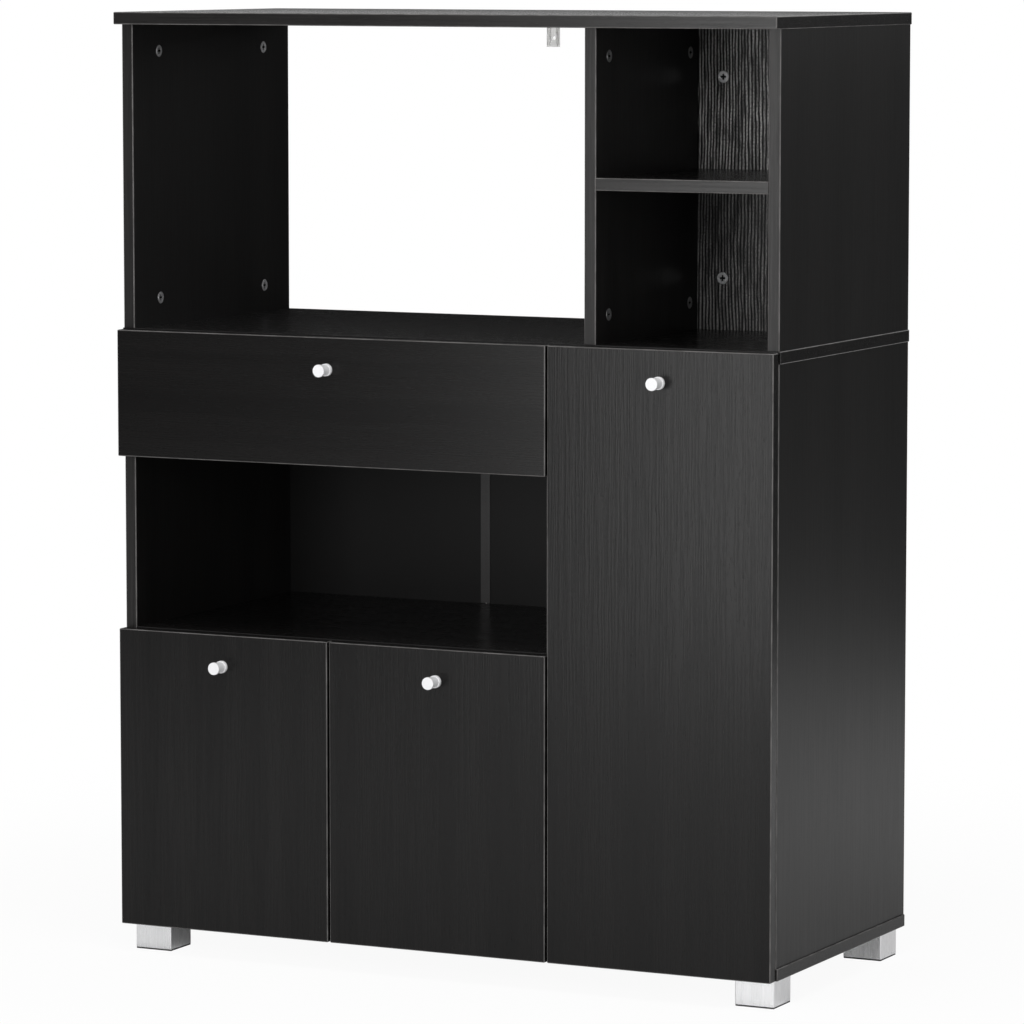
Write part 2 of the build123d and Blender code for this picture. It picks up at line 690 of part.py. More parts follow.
cabinet_rollers = []
drawer_rollers = []
for side_word, wall_x, way, wall_board in (
    ("left", -inner, 1, "lower_left_side"),
    ("right", lower_divider_left, -1, "lower_divider"),
):
    inward = right * way
    web = block((wall_x, wall_x + way * rail_sheet), rail_y, (rail_low, rail_low + rail_height))
    floor = block((wall_x, wall_x + way * rail_reach), rail_y, (rail_low, rail_low + rail_sheet))
    axle_start = Vector(wall_x + way * rail_sheet, cabinet_roller_y, roller_z)
    cabinet_rail = web + floor + make_axle(axle_start, inward)
    cabinet_rollers.append(make_roller(axle_start, inward))
    screw_z = rail_low + rail_height - rail_screw_drop
    for screw_y in (rail_y[0] + rail_screw_inset, sum(rail_y) / 2, rail_y[1] - rail_screw_inset):
        seat = Vector(wall_x + way * rail_sheet, screw_y, screw_z)
        cabinet_rail = cabinet_rail - wood_screw(seat, inward * -1, wall_board, rail_sheet)
    nodes[f"cabinet_rail_{side_word}"] = cabinet_rail
    box_x = wall_x + way * runner_space
    rail_x = box_x - way * rail_sheet
    drawer_web = block((rail_x, box_x), rail_y, (box_low - rail_sheet, track_low + rail_sheet))
    wrap = block((rail_x, box_x + way * drawer_board), rail_y, (box_low - rail_sheet, box_low))
    track = block((rail_x - way * track_reach, box_x), rail_y, (track_low, track_low + rail_sheet))
    axle_start = Vector(rail_x, drawer_roller_y, roller_z)
    drawer_rail = drawer_web + wrap + track + make_axle(axle_start, inward * -1)
    drawer_rollers.append(make_roller(axle_start, inward * -1))
    screw_x = box_x + way * (drawer_board - groove_depth) / 2
    for screw_y in (rail_y[0] + rail_screw_inset, rail_y[1] - rail_screw_inset):
        seat = Vector(screw_x, screw_y, box_low - rail_sheet)
        drawer_screws.append(screw(seat, up, *drawer_screw_size))
        hole = rod(seat, up, screw_radius + fit_clearance, drawer_screw_length + end_clearance)
        drawer_rail = drawer_rail - hole
        drawer_parts[f"drawer_{side_word}_side"] = drawer_parts[f"drawer_{side_word}_side"] - hole
    nodes[f"drawer_rail_{side_word}"] = drawer_rail
nodes["cabinet_rollers"] = Compound(children=cabinet_rollers)
nodes["drawer_rollers"] = Compound(children=drawer_rollers)
nodes["drawer_screws"] = Compound(children=drawer_screws)
nodes.update(drawer_parts)

# Concealed hinges: the cup turns on the eye of a bent arm, which sits on a plate on the upright
pivot_y = front_back_y - hinge_pivot_depth
cup_floor_y = front_back_y - cup_depth
arm_inset = board + plate_base
hinge_plates = []
hinge_arms = []
hinge_screws = []


def make_cup(edge_x, way, z):
    """A hinge cup let into the back of a door, with its wings, studs, lugs and pin."""
    centre_x = edge_x + way * cup_inset
    pivot = Vector(edge_x + way * hinge_pivot_inset, pivot_y, z)
    mouth = Vector(centre_x, front_back_y, z)
    half_width, half_height = cup_wing_width / 2, cup_wing_height / 2
    wing_y = (front_back_y, front_back_y + cup_flange)
    wings = block((centre_x - half_width, centre_x + half_width), wing_y, (z - half_height, z + half_height))
    rim = mouth + back * cup_flange
    pot_depth = cup_depth + cup_flange
    pot = rod(rim, back * -1, cup_radius, pot_depth)
    hollow = rod(rim, back * -1, cup_radius - cup_wall, pot_depth - cup_wall)
    cup = wings + pot - hollow
    for side in (-1, 1):
        stud_at = mouth + up * (side * cup_stud_place)
        cup = cup + rod(stud_at, back * -1, cup_stud_radius, cup_stud_length)
        lug_x = (edge_x + way * (cup_inset - cup_radius), pivot.X + way * hinge_eye_radius)
        lug_z = (z + side * (hinge_eye_half + hinge_side_gap), z + side * lug_reach)
        lug = block(lug_x, (cup_floor_y, pivot_y + hinge_eye_radius), lug_z)
        cup = cup + (lug & rod(mouth, back * -1, cup_radius, cup_depth))
    return cup + rod(pivot - up * lug_reach, up, hinge_pin_radius, 2 * lug_reach)


def cup_holes(edge_x, way, z):
    """The seats for a hinge cup and its studs in the back of a door."""
    mouth = Vector(edge_x + way * cup_inset, front_back_y, z)
    seats = [rod(mouth, back * -1, cup_radius + fit_clearance, cup_depth)]
    for side in (-1, 1):
        stud_at = mouth + up * (side * cup_stud_place)
        seat_depth = cup_stud_length + end_clearance
        seats.append(rod(stud_at, back * -1, cup_stud_radius + fit_clearance, seat_depth))
    return seats


def make_arm(edge_x, way, z):
    """A bent arm: the eye on the pin, a foot along the cup and a strip that runs back to the plate."""
    pivot = Vector(edge_x + way * hinge_pivot_inset, pivot_y, z)
    near = (z - hinge_eye_half, z + hinge_eye_half)
    strip_x = (edge_x + way * arm_inset, edge_x + way * (arm_inset + arm_sheet))
    foot_low = pivot_y - hinge_eye_radius
    eye = rod(pivot - up * hinge_eye_half, up, hinge_eye_radius, 2 * hinge_eye_half)
    foot = block((pivot.X, strip_x[1]), (foot_low, foot_low + arm_sheet), near)
    neck = block(strip_x, (foot_low, carcass_front + arm_shoulder), near)
    tail_y = (carcass_front + arm_shoulder, carcass_front + arm_length)
    tail = block(strip_x, tail_y, (z - arm_half, z + arm_half))
    pin_hole = rod(pivot - up * arm_half, up, hinge_pin_radius + running_clearance, 2 * arm_half)
    return eye + foot + neck + tail - pin_hole


def make_plate(edge_x, way, z, wall_x):
    """A mounting plate on an upright, packed out to the arm where the door laps the upright less."""
    plate_y = (carcass_front + plate_setback, carcass_front + arm_length)
    plate = block((wall_x, wall_x + way * plate_base), plate_y, (z - plate_half, z + plate_half))
    arm_x = edge_x + way * arm_inset
    packing = abs(arm_x - wall_x) - plate_base
    if packing > fit_clearance:
        plate = plate + block((wall_x, arm_x), plate_y, (z - arm_half, z + arm_half))
    return plate


def add_hinges(door_name, edge_x, way, wall_x, wall_board, heights):
    """Hang a door on an upright: way is the direction from the hinge edge to the knob side."""
    cups = []
    for z in heights:
        cups.append(make_cup(edge_x, way, z))
        nodes[door_name] = nodes[door_name] - cup_holes(edge_x, way, z)
        arm = make_arm(edge_x, way, z)
        plate = make_plate(edge_x, way, z, wall_x)
        for side in (-1, 1):
            screw_y = carcass_front + arm_length - plate_screw_inset
            seat = Vector(wall_x + way * plate_base, screw_y, z + side * plate_screw_place)
            plate = plate - wood_screw(seat, right * -way, wall_board, plate_base)
        head_at = Vector(edge_x + way * (arm_inset + arm_sheet), carcass_front + hinge_screw_inset, z)
        bite = arm_sheet + plate_base - end_clearance
        fixing = (hinge_screw_radius, bite, hinge_screw_head_radius, hinge_screw_head_height)
        fixing_hole = rod(head_at, right * -way, hinge_screw_radius + fit_clearance, arm_sheet + plate_base)
        hinge_screws.append(screw(head_at, right * -way, *fixing))
        hinge_arms.append(arm - fixing_hole)
        hinge_plates.append(plate - fixing_hole)
    nodes[f"{door_name}_cups"] = Compound(children=cups)


pair_hinges = (bottom_low + pair_hinge_place, pair_top - pair_hinge_place)
tall_hinges = (bottom_low + tall_hinge_place, tall_top - tall_hinge_place)
add_hinges("left_door", left_door_x[0], 1, -inner, "lower_left_side", pair_hinges)
add_hinges("right_door", right_door_x[1], -1, lower_divider_left, "lower_divider", pair_hinges)
add_hinges("tall_door", tall_door_x[1], -1, inner, "lower_right_side", tall_hinges)
nodes["hinge_plates"] = Compound(children=hinge_plates)
nodes["hinge_arms"] = Compound(children=hinge_arms)
nodes["hinge_screws"] = Compound(children=hinge_screws)

# Drilled boards and the groups of fasteners
for board_name, shape in boards.items():
    nodes[board_name] = shape - cuts[board_name]
nodes["cam_locks"] = Compound(children=cam_locks)
nodes["cam_bolts"] = Compound(children=cam_bolts)
nodes["dowels"] = Compound(children=dowels)
nodes["wood_screws"] = Compound(children=wood_screws)

os.makedirs("parts", exist_ok=True)
for node_name, shape in nodes.items():
    export_step(shape, f"parts/{node_name}.step")
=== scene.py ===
import math

import bmesh
import bpy
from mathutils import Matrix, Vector


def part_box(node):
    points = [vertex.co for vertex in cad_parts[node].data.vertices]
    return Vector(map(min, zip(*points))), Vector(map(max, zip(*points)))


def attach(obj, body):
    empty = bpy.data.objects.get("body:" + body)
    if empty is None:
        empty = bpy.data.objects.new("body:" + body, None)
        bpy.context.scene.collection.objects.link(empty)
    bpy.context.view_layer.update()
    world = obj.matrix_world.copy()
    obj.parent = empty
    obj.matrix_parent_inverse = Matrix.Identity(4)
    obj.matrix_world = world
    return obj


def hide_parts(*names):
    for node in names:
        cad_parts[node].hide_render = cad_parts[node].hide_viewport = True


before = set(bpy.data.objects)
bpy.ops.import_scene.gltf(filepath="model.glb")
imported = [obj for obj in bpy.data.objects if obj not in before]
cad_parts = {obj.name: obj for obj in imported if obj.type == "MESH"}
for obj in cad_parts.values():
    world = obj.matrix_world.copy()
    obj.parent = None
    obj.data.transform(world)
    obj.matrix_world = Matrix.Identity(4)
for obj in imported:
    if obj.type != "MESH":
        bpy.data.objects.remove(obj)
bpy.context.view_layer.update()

# Level boards: bottom, niche floor, drawer deck, counter, shelves and top. They are 15 mm particle board
# faced with a black-brown foil of embossed ash grain, and the grain runs across the width. The front edge
# strips are of the same foil in a paler tone, partly their own and partly painted sheen, and the edged
# arrises carry a painted highlight. Dowels and cam locks hold all but the loose tall shelf, which stands
# on pins.
FOIL_DARK = (0.0035, 0.0033, 0.0033, 1.0)
FOIL_LIGHT = (0.0076, 0.0071, 0.0070, 1.0)
FOIL_PORE = (0.0016, 0.0015, 0.0015, 1.0)
FOIL_GLOSS = 0.20
FOIL_RELIEF = 0.0003
FOIL_ROUGHER = 0.03
FOIL_SMOOTHER = 0.02
PORE_SHARE = 0.6
PORE_SINK = -0.7
# Front edge strips: the banding's own paler tone together with painted sheen that brightens the front
# edges.
STRIP_TONE_AND_SHEEN_DARK = (0.0095, 0.0091, 0.0089, 1.0)
STRIP_TONE_AND_SHEEN_LIGHT = (0.0210, 0.0200, 0.0197, 1.0)
STRIP_FACE = 0.0002
# Painted highlight: a thin pale line along every edged arris, broken up by noise along its length.
ARRIS_PAINTED_HIGHLIGHT = (0.110, 0.106, 0.104, 1.0)
ARRIS_HIGHLIGHT_WIDTH = 0.0014
ARRIS_CORE = 0.6
ARRIS_HIGHLIGHT_BREAK_SCALE = 45.0
OUT_OF_REACH = 1.0
GRAIN_ACROSS = (0.0, math.radians(90), 0.0)
GRAIN_BENDS = {"sway": (9.0, 0.14, 0.012), "ripple": (55.0, 0.5, 0.0022)}
FIGURE_SCALE = 24.0
FIBRE_STRETCH = 0.018
PORE_SCALE = 1150.0
PORE_STRETCH = 0.06
LEVEL_EMBOSS = 0.11
LEVEL_FIBRE = 0.0030


def add_node(tree, kind, links=None, **settings):
    """Add a shader node, set its options, and link or set its inputs by name or number."""
    node = tree.nodes.new(kind)
    for name, value in settings.items():
        setattr(node, name, value)
    for name, value in (links or {}).items():
        if isinstance(value, bpy.types.NodeSocket):
            tree.links.new(value, node.inputs[name])
        else:
            node.inputs[name].default_value = value
    return node


def vector_math(tree, operation, first, second):
    """The vector that a vector sum, difference or product gives."""
    node = add_node(tree, "ShaderNodeVectorMath", {0: first, 1: second}, operation=operation)
    return node.outputs["Vector"]


def number_math(tree, operation, *values):
    """The number that a sum, product or the like gives."""
    return add_node(tree, "ShaderNodeMath", dict(enumerate(values)), operation=operation).outputs["Value"]


def weigh(tree, first, share, second):
    """A number made of a share of the first and the rest of the second."""
    rest = number_math(tree, "MULTIPLY", second, 1.0 - share)
    return number_math(tree, "MULTIPLY_ADD", first, share, rest)


def noise(tree, vector, scale, detail, roughness=0.5):
    """A noise texture read at a vector."""
    inputs = {"Vector": vector, "Scale": scale, "Detail": detail, "Roughness": roughness}
    return add_node(tree, "ShaderNodeTexNoise", inputs).outputs


def stretched(tree, place, along):
    """A place whose Z is scaled, so that a pattern read there runs long up and down."""
    return vector_math(tree, "MULTIPLY", place, (1.0, 1.0, along))


def ramp(tree, value, low, high, bottom=0.0, top=1.0):
    """A smooth step of a value from bottom at low to top at high."""
    inputs = {"Value": value, "From Min": low, "From Max": high, "To Min": bottom, "To Max": top}
    return add_node(tree, "ShaderNodeMapRange", inputs, interpolation_type="SMOOTHSTEP").outputs["Result"]


def mix_colour(tree, factor, first, second):
    """A colour between two colours."""
    inputs = {"Factor": factor, "A": first, "B": second}
    return add_node(tree, "ShaderNodeMix", inputs, data_type="RGBA").outputs["Result"]


def add_bump(tree, shader, height, strength, distance):
    """Give a shader the relief of a height."""
    bump = add_node(tree, "ShaderNodeBump", {"Height": height, "Strength": strength, "Distance": distance})
    tree.links.new(bump.outputs["Normal"], shader.inputs["Normal"])


def new_group(name, inputs, outputs):
    """Start a shader node group with named sockets, and return it with its two end nodes."""
    group = bpy.data.node_groups.new(name, "ShaderNodeTree")
    for socket_name, socket_type, value in inputs:
        socket = group.interface.new_socket(socket_name, in_out="INPUT", socket_type=socket_type)
        if value is not None:
            socket.default_value = value
    for socket_name in outputs:
        group.interface.new_socket(socket_name, in_out="OUTPUT", socket_type="NodeSocketFloat")
    return group, add_node(group, "NodeGroupInput"), add_node(group, "NodeGroupOutput")


def place_group(tree, group, inputs):
    """Place a node group with its input values, and return its outputs."""
    return add_node(tree, "ShaderNodeGroup", inputs, node_tree=group).outputs


def new_material(name):
    """A node material with its tree and its Principled shader."""
    material = bpy.data.materials.new(name)
    material.use_nodes = True
    return material, material.node_tree, material.node_tree.nodes["Principled BSDF"]


def object_place(tree, turn=(0.0, 0.0, 0.0)):
    """Object coordinates, turned for a pattern."""
    place = add_node(tree, "ShaderNodeTexCoord").outputs["Object"]
    return add_node(tree, "ShaderNodeMapping", {"Vector": place, "Rotation": turn}).outputs["Vector"]


def dress(material, *names):
    """Give CAD nodes a finish in every material slot."""
    for name in names:
        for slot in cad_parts[name].material_slots:
            slot.material = material


def make_ash_grain():
    """Masks of the foil's grain for a vector whose Z runs along it: broad figure, fine fibre and pores."""
    group, given, result = new_group(
        "ash_grain",
        [("Vector", "NodeSocketVector", None), ("Fibre Spacing", "NodeSocketFloat", LEVEL_FIBRE)],
        ["Figure", "Fibre", "Pore"],
    )
    place = given.outputs["Vector"]
    bent = place
    for scale, stretch, width in GRAIN_BENDS.values():
        shift = noise(group, stretched(group, place, stretch), scale, 1.0)["Color"]
        shift = vector_math(group, "SUBTRACT", shift, (0.5, 0.5, 0.5))
        shift = vector_math(group, "MULTIPLY", shift, (width, width, 0.0))
        bent = vector_math(group, "ADD", bent, shift)
    long_way = stretched(group, bent, FIBRE_STRETCH)
    figure = noise(group, long_way, FIGURE_SCALE, 2.0)["Fac"]
    spread = number_math(group, "DIVIDE", 1.0, given.outputs["Fibre Spacing"])
    fibre = noise(group, long_way, spread, 1.5, 0.6)["Fac"]
    pore = noise(group, stretched(group, bent, PORE_STRETCH), PORE_SCALE, 1.0)["Fac"]
    group.links.new(ramp(group, figure, 0.30, 0.70), result.inputs["Figure"])
    group.links.new(ramp(group, fibre, 0.36, 0.64), result.inputs["Fibre"])
    group.links.new(ramp(group, pore, 0.60, 0.72), result.inputs["Pore"])
    return group


def make_painted_arris_highlight():
    """A mask of the painted highlight along the edged arrises of a board between two corners."""
    group, given, result = new_group(
        "painted_arris_highlight",
        [
            ("Vector", "NodeSocketVector", None), ("Low", "NodeSocketVector", None),
            ("High", "NodeSocketVector", None), ("Width", "NodeSocketFloat", ARRIS_HIGHLIGHT_WIDTH),
        ],
        ["Line"],
    )
    place, low, high, width = (given.outputs[socket] for socket in ("Vector", "Low", "High", "Width"))
    from_low = vector_math(group, "SUBTRACT", place, low)
    from_high = vector_math(group, "SUBTRACT", high, place)
    depth = vector_math(group, "MINIMUM", from_low, from_high)
    depths = add_node(group, "ShaderNodeSeparateXYZ", {"Vector": depth}).outputs
    lesser = number_math(group, "MINIMUM", depths["X"], depths["Y"])
    greater = number_math(group, "MAXIMUM", depths["X"], depths["Y"])
    from_edge = number_math(group, "MAXIMUM", lesser, number_math(group, "MINIMUM", greater, depths["Z"]))
    line = ramp(group, from_edge, number_math(group, "MULTIPLY", width, ARRIS_CORE), width, 1.0, 0.0)
    broken_up = ramp(group, noise(group, place, ARRIS_HIGHLIGHT_BREAK_SCALE, 2.0)["Fac"], 0.35, 0.65, 0.6, 1.0)
    group.links.new(number_math(group, "MULTIPLY", line, broken_up), result.inputs["Line"])
    return group


ash_grain = make_ash_grain()
painted_arris_highlight = make_painted_arris_highlight()
SIDES = {"left": (0, 0), "right": (1, 0), "front": (0, 1), "back": (1, 1), "bottom": (0, 2), "top": (1, 2)}


def edged_corners(board, raw_sides):
    """A board's two corners, with the sides that have no edging moved out of reach."""
    corners = [list(corner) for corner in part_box(board)]
    for end, axis in (SIDES[side] for side in raw_sides):
        corners[end][axis] += OUT_OF_REACH if end else -OUT_OF_REACH
    return corners


def make_foil(
    board, turn, raw_sides, dark=FOIL_DARK, light=FOIL_LIGHT, streaks=0.5, roughness=0.25, emboss=0.07,
    fibre_spacing=0.0022, front_strip=False,
):
    """Foil for one board with painted arris highlights, its grain along the axis the turn brings to Z."""
    material, tree, shader = new_material(board + "_foil")
    inputs = {"Vector": object_place(tree, turn), "Fibre Spacing": fibre_spacing}
    grain = place_group(tree, ash_grain, inputs)
    figure, fibre, pore = (grain[socket] for socket in ("Figure", "Fibre", "Pore"))
    lift = weigh(tree, fibre, streaks, figure)
    pore_tint = number_math(tree, "MULTIPLY", pore, PORE_SHARE)
    colour = mix_colour(tree, pore_tint, mix_colour(tree, lift, dark, light), FOIL_PORE)
    low, high = edged_corners(board, raw_sides)
    # Paler front strip: partly the banding's own tone, partly painted sheen.
    if front_strip:
        depth = add_node(tree, "ShaderNodeSeparateXYZ", {"Vector": object_place(tree)}).outputs["Y"]
        on_strip = number_math(tree, "LESS_THAN", depth, low[1] + STRIP_FACE)
        colour = mix_colour(tree, on_strip, colour, mix_colour(tree, lift, STRIP_TONE_AND_SHEEN_DARK, STRIP_TONE_AND_SHEEN_LIGHT))
    # A painted highlight along the edged arrises.
    edges = {"Vector": object_place(tree), "Low": low, "High": high, "Width": ARRIS_HIGHLIGHT_WIDTH}
    colour = mix_colour(tree, place_group(tree, painted_arris_highlight, edges)["Line"], colour, ARRIS_PAINTED_HIGHLIGHT)
    tree.links.new(colour, shader.inputs["Base Color"])
    polish = number_math(tree, "SUBTRACT", fibre, pore)
    rough = ramp(tree, polish, -0.6, 1.0, roughness + FOIL_ROUGHER, roughness - FOIL_SMOOTHER)
    tree.links.new(rough, shader.inputs["Roughness"])
    relief = number_math(tree, "MULTIPLY_ADD", pore, PORE_SINK, fibre)
    add_bump(tree, shader, relief, emboss, FOIL_RELIEF)
    shader.inputs["Specular IOR Level"].default_value = FOIL_GLOSS
    return material


for board, raw_sides in (
    ("bottom_panel", ("back",)), ("counter", ("front", "back")), ("top_panel", ("back",)),
    ("niche_floor", ("left", "right", "front", "back")), ("drawer_deck", ("left", "right", "back")),
    ("tall_shelf", ("left", "right", "back")), ("cubby_shelf", ("left", "right", "back")),
):
    level_foil = make_foil(
        board, GRAIN_ACROSS, raw_sides, emboss=LEVEL_EMBOSS, fibre_spacing=LEVEL_FIBRE, front_strip=True
    )
    dress(level_foil, board)

# Feet: four square blocks of extruded aluminium, brushed upright and anodised, each held by one screw
# through the bottom board.
FOOT_COLOUR = (0.93, 0.93, 0.94, 1.0)
FOOT_STREAK = (0.83, 0.83, 0.84, 1.0)
FOOT_LINES = 0.0007
FOOT_ROUGHNESS = 0.30
FOOT_ROUGHER = 0.08
FOOT_SMOOTHER = 0.06
STREAK_STRETCH = 0.012
BAND_SHARE = 0.14
GRAIN_UP = (0.0, 0.0, 0.0)


def make_brushed_streaks():
    """Brushing marks for a vector whose Z runs along them: fine lines and broad bands."""
    group, given, result = new_group(
        "brushed_streaks",
        [("Vector", "NodeSocketVector", None), ("Line Spacing", "NodeSocketFloat", FOOT_LINES)],
        ["Lines", "Bands"],
    )
    long_way = stretched(group, given.outputs["Vector"], STREAK_STRETCH)
    spread = number_math(group, "DIVIDE", 1.0, given.outputs["Line Spacing"])
    lines = noise(group, long_way, spread, 2.0, 0.65)["Fac"]
    bands = noise(group, long_way, number_math(group, "MULTIPLY", spread, BAND_SHARE), 1.0)["Fac"]
    group.links.new(ramp(group, lines, 0.35, 0.65), result.inputs["Lines"])
    group.links.new(ramp(group, bands, 0.30, 0.70), result.inputs["Bands"])
    return group


brushed_streaks = make_brushed_streaks()


def make_brushed(name, turn):
    """Brushed aluminium whose marks run along the axis that the turn brings to Z."""
    material, tree, shader = new_material(name)
    inputs = {"Vector": object_place(tree, turn), "Line Spacing": FOOT_LINES}
    marks = place_group(tree, brushed_streaks, inputs)
    both = weigh(tree, marks["Lines"], 0.6, marks["Bands"])
    tree.links.new(mix_colour(tree, both, FOOT_STREAK, FOOT_COLOUR), shader.inputs["Base Color"])
    rough = ramp(tree, both, 0.0, 1.0, FOOT_ROUGHNESS + FOOT_ROUGHER, FOOT_ROUGHNESS - FOOT_SMOOTHER)
    tree.links.new(rough, shader.inputs["Roughness"])
    add_bump(tree, shader, marks["Lines"], strength=0.12, distance=0.0001)
    shader.inputs["Metallic"].default_value = 1.0
    return material


dress(
    make_brushed("foot_aluminium", GRAIN_UP),
    "foot_front_left", "foot_front_right", "foot_back_left", "foot_back_right",
)

# Foot pads: square pieces of black rubber sheet, 2 mm thick, stuck under the feet. They have a matt face
# with a little dust.
PAD_COLOUR = (0.016, 0.016, 0.016, 1.0)
PAD_DUST = (0.042, 0.041, 0.040, 1.0)
CLOUD_SHARE = 0.05
MOULD_RELIEF = 0.0001
MOULD_SPREAD = 0.06


def make_mottle():
    """Cloudy and speckled masks for moulded, cast and pressed surfaces."""
    group, given, result = new_group(
        "mottle",
        [("Vector", "NodeSocketVector", None), ("Speck Size", "NodeSocketFloat", 0.0008)],
        ["Cloud", "Speck"],
    )
    place = given.outputs["Vector"]
    spread = number_math(group, "DIVIDE", 1.0, given.outputs["Speck Size"])
    speck = noise(group, place, spread, 2.0, 0.6)["Fac"]
    cloud = noise(group, place, number_math(group, "MULTIPLY", spread, CLOUD_SHARE), 2.0)["Fac"]
    group.links.new(ramp(group, cloud, 0.3, 0.7), result.inputs["Cloud"])
    group.links.new(ramp(group, speck, 0.3, 0.7), result.inputs["Speck"])
    return group


mottle = make_mottle()


def make_moulded(name, colour, shade, speck, roughness, metallic=0.0, relief=0.15, gloss=0.5):
    """A moulded, cast or pressed surface with a fine speckle and a slow change of tone."""
    material, tree, shader = new_material(name)
    marks = place_group(tree, mottle, {"Vector": object_place(tree), "Speck Size": speck})
    both = weigh(tree, marks["Speck"], 0.5, marks["Cloud"])
    tree.links.new(mix_colour(tree, both, shade, colour), shader.inputs["Base Color"])
    rough = ramp(tree, both, 0.0, 1.0, roughness + MOULD_SPREAD, roughness - MOULD_SPREAD)
    tree.links.new(rough, shader.inputs["Roughness"])
    add_bump(tree, shader, marks["Speck"], relief, MOULD_RELIEF)
    shader.inputs["Metallic"].default_value = metallic
    shader.inputs["Specular IOR Level"].default_value = gloss
    return material


pad_rubber = make_moulded("foot_pad_rubber", PAD_DUST, PAD_COLOUR, speck=0.0006, roughness=0.8, gloss=0.3)
dress(pad_rubber, "foot_pads")

# Uprights: sides and dividers of both halves, of the same faced board as the level boards, with the grain
# running up and down. They stand between the level boards on dowels and cam locks.
UPRIGHT_RAW = ("back", "bottom", "top")
UPRIGHT_ROUGHNESS = 0.34
UPRIGHT_EMBOSS = 0.05
for board in (
    "lower_left_side", "lower_divider", "lower_right_side",
    "upper_left_side", "upper_divider", "upper_right_side",
):
    # Like the level boards, the uprights get a paler front strip that is partly painted sheen, and painted
    # arris highlights.
    upright_foil = make_foil(
        board, GRAIN_UP, UPRIGHT_RAW, roughness=UPRIGHT_ROUGHNESS, emboss=UPRIGHT_EMBOSS, front_strip=True
    )
    dress(upright_foil, board)

# Back board of the cubby: the same faced board, with a deeper emboss. Its ridges carry a painted highlight
# as pale upright lines, and painted light makes them paler above the shelf than below it. Four cam locks
# hold it to the divider and the side.
# Painted highlight on the ridges, far paler than the foil itself.
RIDGE_PAINTED_HIGHLIGHT = (0.640, 0.630, 0.622, 1.0)
RIDGE_SPACING = 0.0043
RIDGE_SWAY = 0.020
RIDGE_RIPPLE = 0.0028
RIDGE_HIGHLIGHT_BELOW_SHELF = 0.45
RIDGE_CHANGE = 0.03
RIDGE_PATCH_SCALE = 260.0
RIDGE_GRIT_SCALE = 1100.0
RIDGE_EMBOSS = 0.5


def make_ridged(name):
    """Deeply embossed foil: wavy upright ridges with a painted highlight, uneven in width and in strength.
    """
    material, tree, shader = new_material(name)
    place = object_place(tree)
    sway = noise(tree, stretched(tree, place, 0.30), 9.0, 1.0)["Fac"]
    ripple = noise(tree, stretched(tree, place, 0.35), 90.0, 1.0)["Fac"]
    axes = add_node(tree, "ShaderNodeSeparateXYZ", {"Vector": place}).outputs
    across = number_math(tree, "MULTIPLY_ADD", sway, RIDGE_SWAY, axes["X"])
    across = number_math(tree, "MULTIPLY_ADD", ripple, RIDGE_RIPPLE, across)
    wave = number_math(tree, "SINE", number_math(tree, "MULTIPLY", across, 2.0 * math.pi / RIDGE_SPACING))
    ridge = ramp(tree, wave, -0.60, 0.65)
    patch = noise(tree, stretched(tree, place, 0.12), RIDGE_PATCH_SCALE, 2.0)["Fac"]
    grit = noise(tree, stretched(tree, place, 0.4), RIDGE_GRIT_SCALE, 1.0)["Fac"]
    pale = number_math(tree, "MULTIPLY", ridge, ramp(tree, patch, 0.30, 0.62, 0.25, 1.0))
    pale = number_math(tree, "MULTIPLY", pale, ramp(tree, grit, 0.35, 0.62, 0.35, 1.0))
    # Painted light: the ridges' highlight falls to a share of itself below the shelf.
    low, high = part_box("cubby_shelf")
    fade = ramp(tree, axes["Z"], low[2] - RIDGE_CHANGE, high[2] + RIDGE_CHANGE, RIDGE_HIGHLIGHT_BELOW_SHELF, 1.0)
    pale = number_math(tree, "MULTIPLY", pale, fade)
    tree.links.new(mix_colour(tree, pale, FOIL_DARK, RIDGE_PAINTED_HIGHLIGHT), shader.inputs["Base Color"])
    tree.links.new(ramp(tree, ridge, 0.0, 1.0, 0.45, 0.30), shader.inputs["Roughness"])
    add_bump(tree, shader, ridge, RIDGE_EMBOSS, FOIL_RELIEF)
    shader.inputs["Specular IOR Level"].default_value = FOIL_GLOSS
    return material


dress(make_ridged("cubby_back_ridged"), "cubby_back")

# Cam locks and their bolts: zinc castings 15 mm across, turned with a cross-head driver to draw each joint
# tight, and plated steel bolts screwed into the other board. The driver's recess is painted dark as shade.
CAM_COLOUR = (0.66, 0.66, 0.67, 1.0)
CAM_SHADE = (0.46, 0.46, 0.47, 1.0)
CAM_RECESS_PAINTED_SHADE = (0.020, 0.020, 0.021, 1.0)
CAM_FACE_DEPTH = 0.0007
CAM_FACES = (
    ("upper_left_side", "right"), ("upper_divider", "left"), ("upper_divider", "right"),
    ("upper_right_side", "left"), ("cubby_back", "front"), ("lower_left_side", "right"),
    ("lower_divider", "left"), ("lower_divider", "right"), ("lower_right_side", "left"),
)


